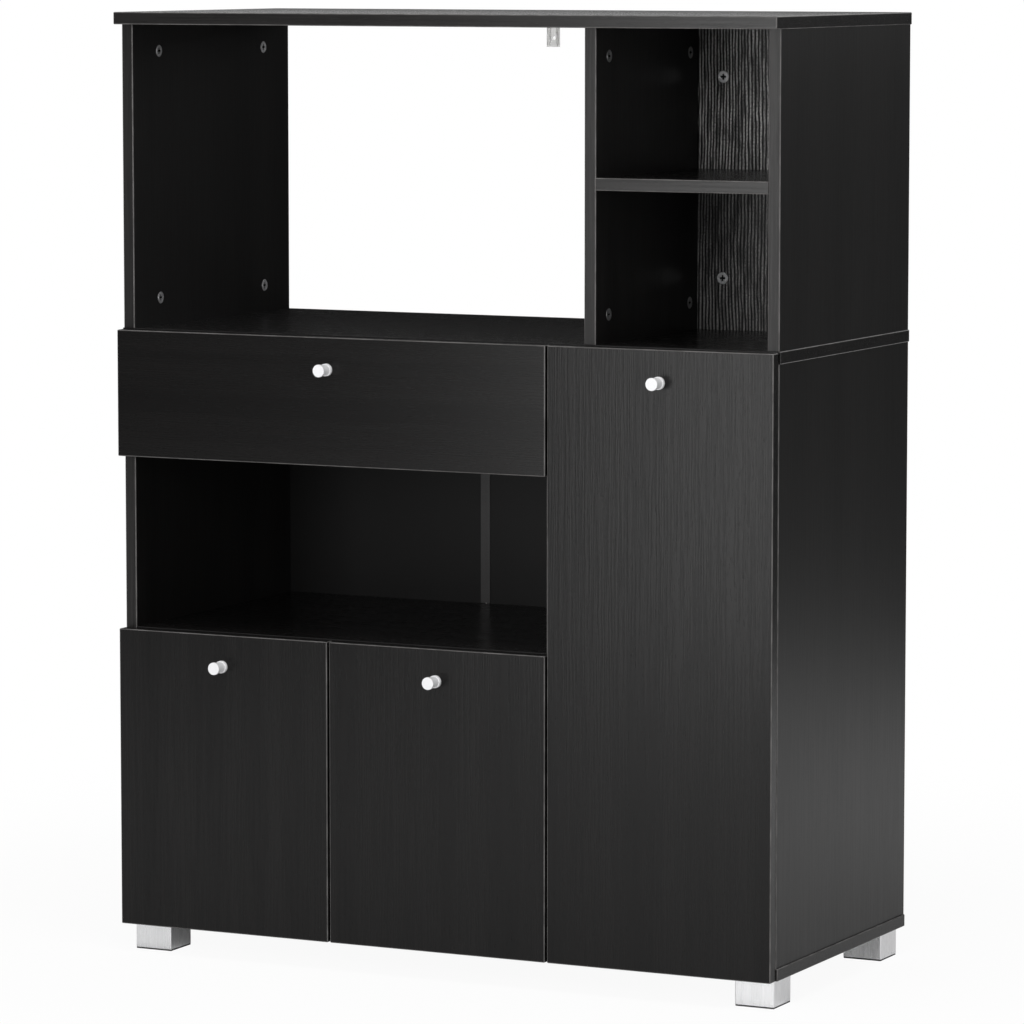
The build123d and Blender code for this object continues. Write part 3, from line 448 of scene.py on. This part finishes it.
def make_cam_zinc(name):
    """Cast zinc with painted shade where it lies deeper than the listed boards' faces."""
    material = make_moulded(
        name, CAM_COLOUR, CAM_SHADE, speck=0.0007, roughness=0.40, metallic=1.0, relief=0.3
    )
    tree = material.node_tree
    axes = add_node(tree, "ShaderNodeSeparateXYZ", {"Vector": object_place(tree)}).outputs
    depth = OUT_OF_REACH
    for board, side in CAM_FACES:
        end, axis = SIDES[side]
        from_face = number_math(tree, "SUBTRACT", axes[axis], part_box(board)[end][axis])
        depth = number_math(tree, "MINIMUM", depth, number_math(tree, "ABSOLUTE", from_face))
    # Painted shade: whatever lies deeper than a listed face turns dark, so cams on faces not listed turn
    # dark all over.
    recess_shade_mask = number_math(tree, "GREATER_THAN", depth, CAM_FACE_DEPTH)
    base = tree.nodes["Principled BSDF"].inputs["Base Color"]
    tree.links.new(mix_colour(tree, recess_shade_mask, base.links[0].from_socket, CAM_RECESS_PAINTED_SHADE), base)
    return material


dress(make_cam_zinc("cam_zinc"), "cam_locks", "cam_bolts")

# Dowels: round beech pegs that line the boards up, raw and unseen once the joints are closed. They are
# pushed into drilled holes.
BEECH_LIGHT = (0.60, 0.42, 0.25, 1.0)
BEECH_DARK = (0.44, 0.29, 0.16, 1.0)
BEECH_FIBRE = 0.0006


def make_beech(name):
    """Raw beech with short dark flecks along the peg."""
    material, tree, shader = new_material(name)
    grain = place_group(tree, ash_grain, {"Vector": object_place(tree), "Fibre Spacing": BEECH_FIBRE})
    colour = mix_colour(tree, grain["Fibre"], BEECH_DARK, BEECH_LIGHT)
    tree.links.new(colour, shader.inputs["Base Color"])
    tree.links.new(ramp(tree, grain["Figure"], 0.0, 1.0, 0.7, 0.55), shader.inputs["Roughness"])
    return material


dress(make_beech("dowel_beech"), "dowels")

# Thin backs of the lower half and the drawer's bottom: 3 mm hardboard, painted black on the side that shows
# and left raw and brown on the other. The backs are nailed on, and the drawer's bottom lies in grooves.
PAINT_DARK = (0.0034, 0.0032, 0.0032, 1.0)
PAINT_LIGHT = (0.0046, 0.0043, 0.0042, 1.0)
PAINT_ROUGHNESS = 0.42
FIBRE_DARK = (0.115, 0.066, 0.036, 1.0)
FIBRE_LIGHT = (0.200, 0.122, 0.070, 1.0)
FIBRE_ROUGHNESS = 0.75
HARDBOARD_SPECK = 0.0016
BACK_MIDDLE = 0.2165
DRAWER_BOTTOM_MIDDLE = sum(corner[2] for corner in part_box("drawer_bottom")) / 2


def make_hardboard(name, axis, middle, raw_above):
    """Hardboard that is painted on one side of a plane and raw on the other."""
    material, tree, shader = new_material(name)
    place = add_node(tree, "ShaderNodeTexCoord").outputs["Object"]
    along = add_node(tree, "ShaderNodeSeparateXYZ", {"Vector": place}).outputs[axis]
    raw = number_math(tree, "GREATER_THAN" if raw_above else "LESS_THAN", along, middle)
    marks = place_group(tree, mottle, {"Vector": place, "Speck Size": HARDBOARD_SPECK})
    both = weigh(tree, marks["Speck"], 0.65, marks["Cloud"])
    paint = mix_colour(tree, both, PAINT_DARK, PAINT_LIGHT)
    fibre = mix_colour(tree, both, FIBRE_DARK, FIBRE_LIGHT)
    tree.links.new(mix_colour(tree, raw, paint, fibre), shader.inputs["Base Color"])
    rough = ramp(tree, raw, 0.0, 1.0, PAINT_ROUGHNESS, FIBRE_ROUGHNESS)
    tree.links.new(rough, shader.inputs["Roughness"])
    add_bump(tree, shader, marks["Speck"], strength=0.12, distance=0.0002)
    shader.inputs["Specular IOR Level"].default_value = FOIL_GLOSS
    return material


dress(make_hardboard("back_hardboard", "Y", BACK_MIDDLE, True), "back_left", "back_right")
dress(make_hardboard("drawer_bottom_hardboard", "Z", DRAWER_BOTTOM_MIDDLE, False), "drawer_bottom")

# Joining strip: a dark plastic extrusion of H section, in three lengths between the level boards. It grips
# the edges of the two thin backs where they meet.
JOIN_COLOUR = (0.030, 0.028, 0.028, 1.0)
JOIN_SHADE = (0.018, 0.017, 0.017, 1.0)
join_plastic = make_moulded(
    "strip_plastic", JOIN_COLOUR, JOIN_SHADE, speck=0.0020, roughness=0.40, relief=0.05
)
dress(join_plastic, "back_strip")

# Nails and screws: zinc-plated steel, driven into the boards and the fittings. The heads are bright and
# smooth.
STEEL_COLOUR = (0.62, 0.62, 0.63, 1.0)
STEEL_SHADE = (0.44, 0.44, 0.46, 1.0)
dress(
    make_moulded(
        "screw_steel", STEEL_COLOUR, STEEL_SHADE, speck=0.0005, roughness=0.34, metallic=1.0, relief=0.1
    ),
    "back_nails", "foot_screws", "wood_screws", "hinge_screws", "drawer_screws",
    "drawer_knob_screw", "left_knob_screw", "right_knob_screw", "tall_knob_screw",
)

# Wall bracket: a small angle moulded in milky plastic, with a rim and a raised U round its hole. It is
# screwed up under the back edge of the top board.
BRACKET_COLOUR = (0.97, 0.97, 0.96, 1.0)
BRACKET_SHADE = (0.95, 0.95, 0.94, 1.0)
BRACKET_CLEARNESS = 0.6
BRACKET_IOR = 1.2
bracket_plastic = make_moulded(
    "bracket_plastic", BRACKET_COLOUR, BRACKET_SHADE, speck=0.0010, roughness=0.20, relief=0.05
)
bracket_shader = bracket_plastic.node_tree.nodes["Principled BSDF"]
bracket_shader.inputs["Transmission Weight"].default_value = BRACKET_CLEARNESS
bracket_shader.inputs["IOR"].default_value = BRACKET_IOR
dress(bracket_plastic, "wall_bracket")

# Drawer rails: rolled steel strips with a white powder coat, screwed to the cabinet and to the drawer box.
# Each holds one roller.
COAT_COLOUR = (0.74, 0.74, 0.72, 1.0)
COAT_SHADE = (0.66, 0.66, 0.64, 1.0)
dress(
    make_moulded("rail_paint", COAT_COLOUR, COAT_SHADE, speck=0.0009, roughness=0.40, relief=0.25),
    "cabinet_rail_left", "cabinet_rail_right", "drawer_rail_left", "drawer_rail_right",
)

# Rollers: plain nylon wheels on pins at the ends of the rails. They are moulded, and turn as the drawer
# slides.
NYLON_COLOUR = (0.80, 0.79, 0.75, 1.0)
NYLON_SHADE = (0.72, 0.70, 0.65, 1.0)
dress(
    make_moulded("roller_nylon", NYLON_COLOUR, NYLON_SHADE, speck=0.0012, roughness=0.45, relief=0.1),
    "cabinet_rollers", "drawer_rollers",
)

# Drawer box: thin boards wrapped in plain black-brown foil, screwed together round a hardboard bottom. The
# foil is duller than that of the fronts and has no painted arris highlight.
BOX_DARK = (0.0060, 0.0056, 0.0055, 1.0)
BOX_LIGHT = (0.0125, 0.0116, 0.0114, 1.0)
GRAIN_DEEP = (math.radians(90), 0.0, 0.0)
for board, turn in (
    ("drawer_left_side", GRAIN_DEEP), ("drawer_right_side", GRAIN_DEEP),
    ("drawer_inner_front", GRAIN_ACROSS), ("drawer_back", GRAIN_ACROSS),
):
    dress(make_foil(board, turn, SIDES, BOX_DARK, BOX_LIGHT, streaks=0.4, roughness=0.45), board)

# Drawer front: the same faced board as the carcass with all its edges banded, its grain running across. It
# is screwed to the front of the drawer box.
DRAWER_EMBOSS = 0.05
# Every edge of the drawer front carries the painted arris highlight.
dress(make_foil("drawer_front", GRAIN_ACROSS, (), emboss=DRAWER_EMBOSS), "drawer_front")

# Doors: banded boards with upright grain, one tall and a pair below the niche. They hang on concealed
# hinges.
DOOR_EMBOSS = 0.11
for board in ("left_door", "right_door", "tall_door"):
    # Every edge of the doors carries the painted arris highlight.
    dress(make_foil(board, GRAIN_UP, (), emboss=DOOR_EMBOSS), board)

# Hinges: nickel-plated steel cups let into the doors, with arms and plates screwed to the uprights. The
# pins of the loose shelf have the same plating.
NICKEL_COLOUR = (0.70, 0.68, 0.65, 1.0)
NICKEL_SHADE = (0.56, 0.54, 0.51, 1.0)
dress(
    make_moulded(
        "hinge_nickel", NICKEL_COLOUR, NICKEL_SHADE, speck=0.0012, roughness=0.24, metallic=1.0, relief=0.06
    ),
    "hinge_plates", "hinge_arms", "left_door_cups", "right_door_cups", "tall_door_cups", "shelf_pins",
)

# Knobs: four pulls turned from aluminium bar and satin anodised, each a spool with a flat disc in front, a
# thinner neck and a flange of the disc's width behind. A screw from behind holds each to its front.
KNOB_COLOUR = (0.77, 0.77, 0.78, 1.0)
KNOB_RING = (0.70, 0.70, 0.71, 1.0)
KNOB_METAL = 0.1
KNOB_ROUGH = 0.62
KNOB_SMOOTH = 0.54
KNOB_LINES = 0.0003
KNOB_RADIUS = 0.0076
KNOB_NECK_RADIUS = 0.0066
KNOB_DISC = 0.0034
KNOB_NECK = 0.0140
KNOB_LIP = 0.0006
KNOB_HOLLOW = 0.0006
KNOB_EASE = 0.0003
KNOB_DISH = 0.0002
KNOB_DISH_MIDDLE = 0.12
KNOB_SIDES = 96
FRONT_FACING = -0.9
RING_REACH = 0.00005
MERGE_REACH = 0.000005
SHARP_ANGLE = math.radians(35)


def start_edit(piece):
    """Open a piece for editing with nothing selected."""
    bpy.context.view_layer.objects.active = piece
    bpy.ops.object.mode_set(mode="EDIT")
    bpy.ops.mesh.select_all(action="DESELECT")


def pick_faces(piece, test):
    """Select in edit mode only the faces whose normal passes a test."""
    bpy.ops.mesh.select_mode(type="FACE")
    mesh = bmesh.from_edit_mesh(piece.data)
    for face in mesh.faces:
        face.select_set(test(face.normal))
    bmesh.update_edit_mesh(piece.data)


def pick_edges(piece, test):
    """Select in edit mode only the edges whose two end points pass a test."""
    bpy.ops.mesh.select_mode(type="EDGE")
    mesh = bmesh.from_edit_mesh(piece.data)
    for edge in mesh.edges:
        edge.select_set(False)
    for edge in mesh.edges:
        edge.select_set(all(test(corner.co) for corner in edge.verts))
    bmesh.update_edit_mesh(piece.data)


def push_front(distance):
    """Extrude the selected front face towards the front."""
    bpy.ops.mesh.extrude_region_move(TRANSFORM_OT_translate={"value": (0.0, -distance, 0.0)})


def resize_round(ratio, centre):
    """Scale the selection about a knob's axis."""
    bpy.ops.transform.resize(value=(ratio, 1.0, ratio), center_override=centre)


def model_knob(name, node):
    """Turn a knob in the place of a CAD knob: flange, neck, disc with a rounded lip and a shallow dish."""
    low, high = (Vector(corner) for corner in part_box(node))
    centre = (low + high) / 2
    flange = high.y - low.y - KNOB_DISC - KNOB_NECK
    flange_front = high.y - flange
    disc_back = flange_front - KNOB_NECK
    bpy.ops.object.select_all(action="DESELECT")
    bpy.ops.mesh.primitive_cylinder_add(
        vertices=KNOB_SIDES, radius=KNOB_RADIUS, depth=flange,
        location=(centre.x, high.y - flange / 2, centre.z), rotation=(math.radians(90), 0.0, 0.0),
    )
    knob = bpy.context.object
    knob.name = name
    bpy.ops.object.transform_apply(location=True, rotation=True, scale=True)
    start_edit(knob)
    pick_faces(knob, lambda normal: normal.y < FRONT_FACING)
    axis = (centre.x, flange_front, centre.z)
    push_front(0.0)
    resize_round(KNOB_NECK_RADIUS / KNOB_RADIUS, axis)
    push_front(KNOB_NECK)
    push_front(0.0)
    resize_round(KNOB_RADIUS / KNOB_NECK_RADIUS, axis)
    push_front(KNOB_DISC)
    push_front(0.0)
    resize_round((KNOB_RADIUS - 2.0 * KNOB_LIP) / KNOB_RADIUS, axis)
    push_front(0.0)
    resize_round(KNOB_DISH_MIDDLE, axis)
    bpy.ops.transform.translate(value=(0.0, KNOB_DISH, 0.0))

    def away(point):
        return math.hypot(point.x - centre.x, point.z - centre.z)

    def on_ring(radius, y):
        return lambda point: abs(away(point) - radius) < RING_REACH and abs(point.y - y) < RING_REACH

    for radius, y, width, steps in (
        (KNOB_RADIUS, low.y, KNOB_LIP, 5), (KNOB_RADIUS, disc_back, KNOB_EASE, 2),
        (KNOB_NECK_RADIUS, disc_back, KNOB_HOLLOW, 4), (KNOB_NECK_RADIUS, flange_front, KNOB_HOLLOW, 4),
        (KNOB_RADIUS, flange_front, KNOB_EASE, 2), (KNOB_RADIUS, high.y, KNOB_EASE, 2),
    ):
        pick_edges(knob, on_ring(radius, y))
        bpy.ops.mesh.bevel(offset=width, segments=steps, profile=0.5, affect="EDGES")
    bpy.ops.mesh.select_all(action="SELECT")
    bpy.ops.mesh.remove_doubles(threshold=MERGE_REACH)
    bpy.ops.mesh.normals_make_consistent(inside=False)
    bpy.ops.object.mode_set(mode="OBJECT")
    bpy.ops.object.shade_smooth_by_angle(angle=SHARP_ANGLE)
    turning = knob.data.attributes.new("turning_radius", "FLOAT", "POINT")
    for vertex in knob.data.vertices:
        turning.data[vertex.index].value = away(vertex.co)
    return knob


def make_turned(name):
    """Satin aluminium with fine turning rings round the knob's axis."""
    material, tree, shader = new_material(name)
    radius = add_node(tree, "ShaderNodeAttribute", attribute_name="turning_radius").outputs["Fac"]
    place = add_node(tree, "ShaderNodeTexCoord").outputs["Object"]
    along = add_node(tree, "ShaderNodeSeparateXYZ", {"Vector": place}).outputs["Y"]
    ring_place = add_node(tree, "ShaderNodeCombineXYZ", {"X": radius, "Y": along}).outputs["Vector"]
    marks = place_group(tree, brushed_streaks, {"Vector": ring_place, "Line Spacing": KNOB_LINES})
    tree.links.new(mix_colour(tree, marks["Lines"], KNOB_RING, KNOB_COLOUR), shader.inputs["Base Color"])
    rough = ramp(tree, marks["Bands"], 0.0, 1.0, KNOB_ROUGH, KNOB_SMOOTH)
    tree.links.new(rough, shader.inputs["Roughness"])
    add_bump(tree, shader, marks["Lines"], strength=0.1, distance=0.0001)
    shader.inputs["Metallic"].default_value = KNOB_METAL
    return material


turned_aluminium = make_turned("knob_aluminium")
for body in ("drawer", "left_door", "right_door", "tall_door"):
    node = body.replace("_door", "") + "_knob"
    knob = model_knob(node + "_turned", node)
    knob.data.materials.append(turned_aluminium)
    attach(knob, body)
    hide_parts(node)

# Floor: a wide pale sheet under the cabinet, seen as white further off and with the cabinet's soft shadow
# near it.
FLOOR_SIZE = 60.0
FLOOR_COLOUR = (0.86, 0.86, 0.86, 1.0)
FLOOR_ROUGHNESS = 0.9
SHADE_NEAR = 0.55
SHADE_FAR = 1.7
NEAR_GLOW = 0.94
NEAR_GLOW_IN_GLOSS = 0.05
WHITE = (1.0, 1.0, 1.0, 1.0)


def seen_directly(tree):
    """One for rays that show the background itself, from the camera, in gloss or through glass."""
    paths = add_node(tree, "ShaderNodeLightPath").outputs
    seen = number_math(tree, "MAXIMUM", paths["Is Camera Ray"], paths["Is Glossy Ray"])
    return number_math(tree, "MAXIMUM", seen, paths["Is Transmission Ray"])


bpy.ops.object.select_all(action="DESELECT")
bpy.ops.mesh.primitive_plane_add(size=FLOOR_SIZE)
floor = bpy.context.object
floor.name = "studio_floor"
floor_sheet, floor_tree, floor_shader = new_material("studio_floor")
floor_place = add_node(floor_tree, "ShaderNodeTexCoord").outputs["Object"]
floor_length = add_node(floor_tree, "ShaderNodeVectorMath", {0: floor_place}, operation="LENGTH")
floor_away = floor_length.outputs["Value"]
camera_ray = add_node(floor_tree, "ShaderNodeLightPath").outputs["Is Camera Ray"]
near_glow = ramp(floor_tree, camera_ray, 0.0, 1.0, NEAR_GLOW_IN_GLOSS, NEAR_GLOW)
glow_by_distance = ramp(floor_tree, floor_away, SHADE_NEAR, SHADE_FAR, near_glow, 1.0)
glow_share = number_math(floor_tree, "MULTIPLY", seen_directly(floor_tree), glow_by_distance)
floor_shader.inputs["Base Color"].default_value = FLOOR_COLOUR
floor_shader.inputs["Roughness"].default_value = FLOOR_ROUGHNESS
floor_shader.inputs["Specular IOR Level"].default_value = 0.0
glow = add_node(floor_tree, "ShaderNodeEmission", {"Color": WHITE, "Strength": 1.0})
floor_mix = add_node(
    floor_tree, "ShaderNodeMixShader",
    {0: glow_share, 1: floor_shader.outputs["BSDF"], 2: glow.outputs["Emission"]},
)
floor_tree.links.new(floor_mix.outputs["Shader"], floor_tree.nodes["Material Output"].inputs["Surface"])
floor.data.materials.append(floor_sheet)

# Dark cards: black and grey felt behind the cabinet, at the right behind it and at the left in front, seen
# only in gloss, so that the black boards don't mirror the white room.
CARDS = {
    "card_behind": ((-1.15, 0.95, 0.66), (2.7, 1.32), (0.018, 0.018, 0.018, 1.0)),
    "card_right": ((1.9, 2.4, 0.65), (3.4, 1.3), (0.13, 0.13, 0.13, 1.0)),
    "card_left": ((-3.0, -3.2, 1.25), (3.7, 2.5), (0.05, 0.05, 0.05, 1.0)),
}
for card_name, (card_middle, (card_width, card_height), card_tone) in CARDS.items():
    bpy.ops.object.select_all(action="DESELECT")
    bpy.ops.mesh.primitive_plane_add(size=1.0, location=card_middle, rotation=(math.radians(90), 0.0, 0.0))
    card = bpy.context.object
    card.name = card_name
    card.scale = (card_width, card_height, 1.0)
    bpy.ops.object.transform_apply(location=True, rotation=True, scale=True)
    felt, _, felt_shader = new_material(card_name + "_felt")
    felt_shader.inputs["Base Color"].default_value = card_tone
    felt_shader.inputs["Roughness"].default_value = 1.0
    felt_shader.inputs["Specular IOR Level"].default_value = 0.0
    card.data.materials.append(felt)
    card.visible_camera = False
    card.visible_diffuse = False
    card.visible_transmission = False
    card.visible_shadow = False

# Room light: even and white, with the background white where it is seen. It fills the shadows from all
# sides.
ROOM_LEVEL = 0.48
world = bpy.data.worlds.new("studio")
bpy.context.scene.world = world
world.use_nodes = True
world_tree = world.node_tree
room_light = world_tree.nodes["Background"]
room_strength = ramp(world_tree, seen_directly(world_tree), 0.0, 1.0, ROOM_LEVEL, 1.0)
world_tree.links.new(room_strength, room_light.inputs["Strength"])
room_light.inputs["Color"].default_value = WHITE

# Lamps: two softboxes at the left front, which the fronts mirror more towards the right, one at the right,
# one over the cabinet, and a fill in front that reaches into the open bays and isn't mirrored.
LAMP_AIM = Vector((0.2, 0.0, 0.7))
LAMPS = {
    "softbox_left": ((-0.57, -3.0, 0.68), (1.1, 1.36), 16.0, True),
    "softbox_upper": ((-0.35, -3.0, 1.12), (0.8, 0.5), 8.0, True),
    "softbox_right": ((3.3, -2.8, 1.0), (1.0, 1.5), 36.0, True),
    "softbox_above": ((0.5, -0.9, 3.4), (1.6, 1.0), 36.0, True),
    "fill_front": ((1.0, -3.8, 2.05), (0.9, 0.9), 27.0, False),
}
for lamp_name, (lamp_place, (lamp_width, lamp_height), lamp_power, mirrored) in LAMPS.items():
    lamp_data = bpy.data.lights.new(lamp_name, "AREA")
    lamp_data.shape = "RECTANGLE"
    lamp_data.size = lamp_width
    lamp_data.size_y = lamp_height
    lamp_data.energy = lamp_power
    lamp = bpy.data.objects.new(lamp_name, lamp_data)
    bpy.context.collection.objects.link(lamp)
    lamp.location = lamp_place
    lamp.rotation_euler = (LAMP_AIM - lamp.location).to_track_quat("-Z", "Y").to_euler()
    lamp.visible_glossy = mirrored

# Camera: long lens, a little above the top board, turned towards the cabinet's right front corner and
# tilted down a few degrees.
CAMERA_PLACE = (2.8632, -5.7853, 1.2433)
CAMERA_TILT = math.radians(90 - 6.134)
CAMERA_TURN = math.radians(26.295)
CAMERA_LENS = 186.1
CAMERA_SENSOR = 36.0
camera_data = bpy.data.cameras.new("camera")
camera_data.sensor_width = CAMERA_SENSOR
camera_data.lens = CAMERA_LENS
camera = bpy.data.objects.new("camera", camera_data)
bpy.context.collection.objects.link(camera)
camera.location = CAMERA_PLACE
camera.rotation_euler = (CAMERA_TILT, 0.0, CAMERA_TURN)
bpy.context.scene.camera = camera
bpy.context.scene.view_settings.view_transform = "Standard"
